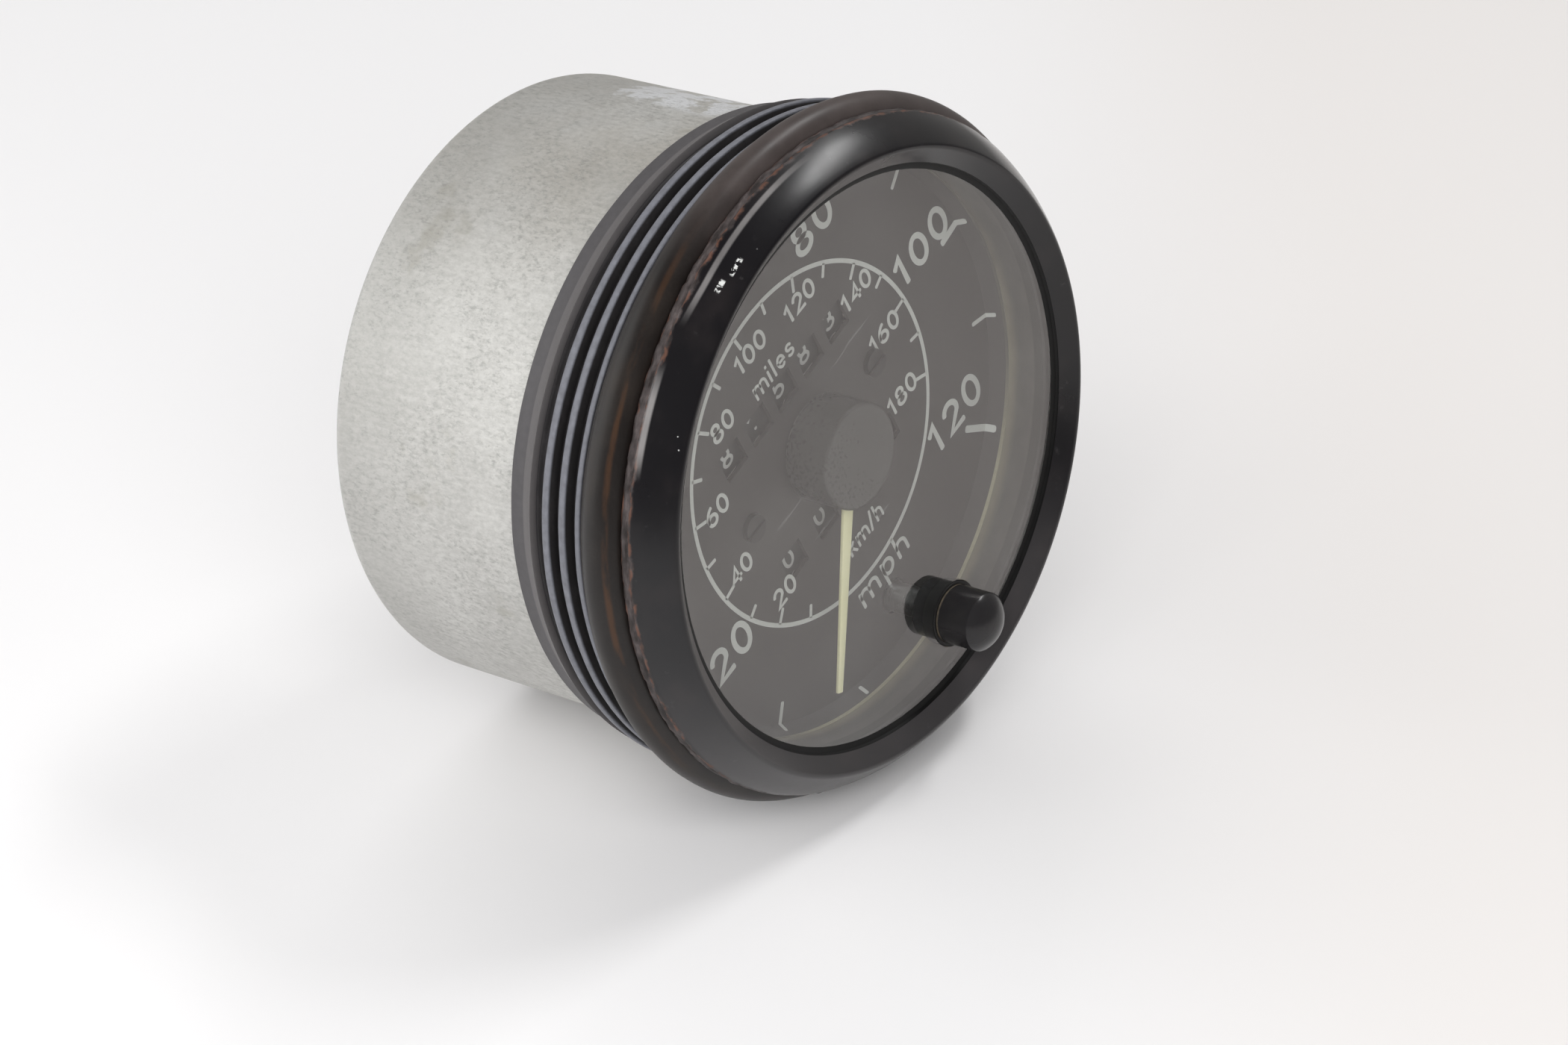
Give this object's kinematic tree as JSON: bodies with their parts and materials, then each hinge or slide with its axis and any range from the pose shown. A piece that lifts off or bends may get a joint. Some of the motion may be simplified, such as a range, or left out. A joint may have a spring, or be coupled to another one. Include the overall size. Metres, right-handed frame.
{
  "type": "mechanical speedometer",
  "caption": "Round dashboard speedometer with a sprung pointer, odometer and trip drums, push-to-reset knob, rubber panel sleeve and a rear cable drive.",
  "frame": {"origin": "on the dial's axis, in the middle of the rubber ribs that grip the panel hole", "axes": "+Y along the axis to the rear, so the dial faces -Y; +Z to twelve o'clock; +X to the right of the dial"},
  "size_m": [0.1136, 0.088, 0.1136],
  "materials": {
    "zinc_steel": "dull zinc plating, stained and scratched",
    "black_enamel": "satin black enamel, chipped, rusty at the rear seam",
    "black_rubber": "aged black rubber",
    "clear_glass": "flat glass, slightly dusty",
    "grey_plastic": "matte grey",
    "cream_card": "aged cream gasket",
    "dial_black": "matte black dial paint with pale markings",
    "dark_steel": "blackened steel",
    "pointer_cream": "pale cream paint",
    "hub_grey": "moulded dark grey",
    "drum_black": "moulded black with pale numbers",
    "gear_plastic": "moulded ivory",
    "bright_steel": "turned bright steel",
    "plated_sheet": "plated sheet steel",
    "brass": "turned brass",
    "cast_zinc": "die-cast grey",
    "magnet_grey": "sintered dark grey",
    "drag_aluminium": "thin spun aluminium",
    "knob_black": "polished black",
    "lamp_black": "moulded black",
    "bulb_glass": "clear bulb"
  },
  "bodies": {
    "base": {"case": "zinc_steel", "bezel": "black_enamel", "glass_seal": "black_rubber", "glass": "clear_glass", "spacer_ring": "grey_plastic", "dial_gasket": "cream_card", "dial_plate": "dial_black", "dial_screws": "dark_steel", "trim_ring": "black_rubber", "ribbed_sleeve": "black_rubber", "hairspring": "bright_steel", "bridge": "brass", "bridge_bush": "brass", "bridge_screws": "bright_steel", "drive_boss": "cast_zinc", "movement_frame": "cast_zinc", "movement_screws": "bright_steel", "odometer_shaft": "bright_steel", "trip_shaft": "bright_steel", "knob_grommet": "black_rubber", "knob_spring": "bright_steel", "reset_bracket": "plated_sheet", "lever_pin": "bright_steel", "lamp_holders": "lamp_black", "lamp_bulbs": "bulb_glass", "earth_tab": "brass"},
    "pointer": {"pointer_blade": "pointer_cream", "pointer_hub": "hub_grey", "pointer_spindle": "bright_steel", "drag_cup": "drag_aluminium"},
    "drive": {"drive_shaft": "bright_steel", "magnet": "magnet_grey", "flux_cup": "bright_steel"},
    "cross": {"cross_shaft": "bright_steel", "worm_wheel": "brass"},
    "riser": {"riser_shaft": "bright_steel", "riser_wheel": "brass"},
    "odometer_5": {"odometer_drum_5": "drum_black", "odometer_gear": "gear_plastic"},
    "odometer_4": {"odometer_drum_4": "drum_black"},
    "odometer_3": {"odometer_drum_3": "drum_black"},
    "odometer_2": {"odometer_drum_2": "drum_black"},
    "odometer_1": {"odometer_drum_1": "drum_black"},
    "trip_4": {"trip_drum_4": "drum_black", "trip_gear": "gear_plastic"},
    "trip_3": {"trip_drum_3": "drum_black"},
    "trip_2": {"trip_drum_2": "drum_black"},
    "trip_1": {"trip_drum_1": "drum_black"},
    "knob": {"trip_knob": "knob_black", "knob_stem": "bright_steel"},
    "lever": {"reset_lever": "plated_sheet"}
  },
  "joints": [
    {"name": "pointer_turn", "type": "hinge", "parent": "base", "child": "pointer", "pos_m": [0, -0.0049, 0], "axis": [0, 1, 0], "range_deg": [0, 278], "stiffness_Nm_per_rad": 0.004, "deforming": ["hairspring"]},
    {"name": "drive_spin", "type": "hinge", "parent": "base", "child": "drive", "pos_m": [0, 0.03625, 0], "axis": [0, -1, 0], "continuous": true},
    {"name": "cross_spin", "type": "hinge", "parent": "base", "child": "cross", "pos_m": [0, 0.03625, -0.0105], "axis": [1, 0, 0], "continuous": true},
    {"name": "riser_spin", "type": "hinge", "parent": "base", "child": "riser", "pos_m": [0.022, 0.03625, 0], "axis": [0, -1, 0], "continuous": true},
    {"name": "odometer_spin_5", "type": "hinge", "parent": "base", "child": "odometer_5", "pos_m": [0, 0.0055, 0.0128], "axis": [1, 0, 0], "continuous": true},
    {"name": "odometer_spin_4", "type": "hinge", "parent": "base", "child": "odometer_4", "pos_m": [0, 0.0055, 0.0128], "axis": [1, 0, 0], "continuous": true},
    {"name": "odometer_spin_3", "type": "hinge", "parent": "base", "child": "odometer_3", "pos_m": [0, 0.0055, 0.0128], "axis": [1, 0, 0], "continuous": true},
    {"name": "odometer_spin_2", "type": "hinge", "parent": "base", "child": "odometer_2", "pos_m": [0, 0.0055, 0.0128], "axis": [1, 0, 0], "continuous": true},
    {"name": "odometer_spin_1", "type": "hinge", "parent": "base", "child": "odometer_1", "pos_m": [0, 0.0055, 0.0128], "axis": [1, 0, 0], "continuous": true},
    {"name": "trip_spin_4", "type": "hinge", "parent": "base", "child": "trip_4", "pos_m": [0, 0.0055, -0.0128], "axis": [1, 0, 0], "continuous": true},
    {"name": "trip_spin_3", "type": "hinge", "parent": "base", "child": "trip_3", "pos_m": [0, 0.0055, -0.0128], "axis": [1, 0, 0], "continuous": true},
    {"name": "trip_spin_2", "type": "hinge", "parent": "base", "child": "trip_2", "pos_m": [0, 0.0055, -0.0128], "axis": [1, 0, 0], "continuous": true},
    {"name": "trip_spin_1", "type": "hinge", "parent": "base", "child": "trip_1", "pos_m": [0, 0.0055, -0.0128], "axis": [1, 0, 0], "continuous": true},
    {"name": "knob_push", "type": "slide", "parent": "base", "child": "knob", "axis": [0, 1, 0], "range_m": [0, 0.004], "stiffness_N_per_m": 300, "springref_m": -0.003, "deforming": ["knob_spring"]},
    {"name": "lever_swing", "type": "hinge", "parent": "base", "child": "lever", "pos_m": [0, 0.0146, -0.028], "axis": [1, 0, 0], "range_deg": [0, 26]}
  ],
  "couplings": [
    {"joint": "cross_spin", "follows": "drive_spin", "ratio": -0.05},
    {"joint": "riser_spin", "follows": "drive_spin", "ratio": 0.0025},
    {"joint": "odometer_spin_5", "follows": "drive_spin", "ratio": 0.0001},
    {"joint": "odometer_spin_4", "follows": "drive_spin", "ratio": 0.00001},
    {"joint": "odometer_spin_3", "follows": "drive_spin", "ratio": 0.000001},
    {"joint": "odometer_spin_2", "follows": "drive_spin", "ratio": 0.0000001},
    {"joint": "odometer_spin_1", "follows": "drive_spin", "ratio": 0.00000001},
    {"joint": "trip_spin_4", "follows": "drive_spin", "ratio": -0.0001},
    {"joint": "trip_spin_3", "follows": "drive_spin", "ratio": -0.00001},
    {"joint": "trip_spin_2", "follows": "drive_spin", "ratio": -0.000001},
    {"joint": "trip_spin_1", "follows": "drive_spin", "ratio": -0.0000001},
    {"joint": "lever_swing", "follows": "knob_push", "rad_per_m": 110}
  ]
}
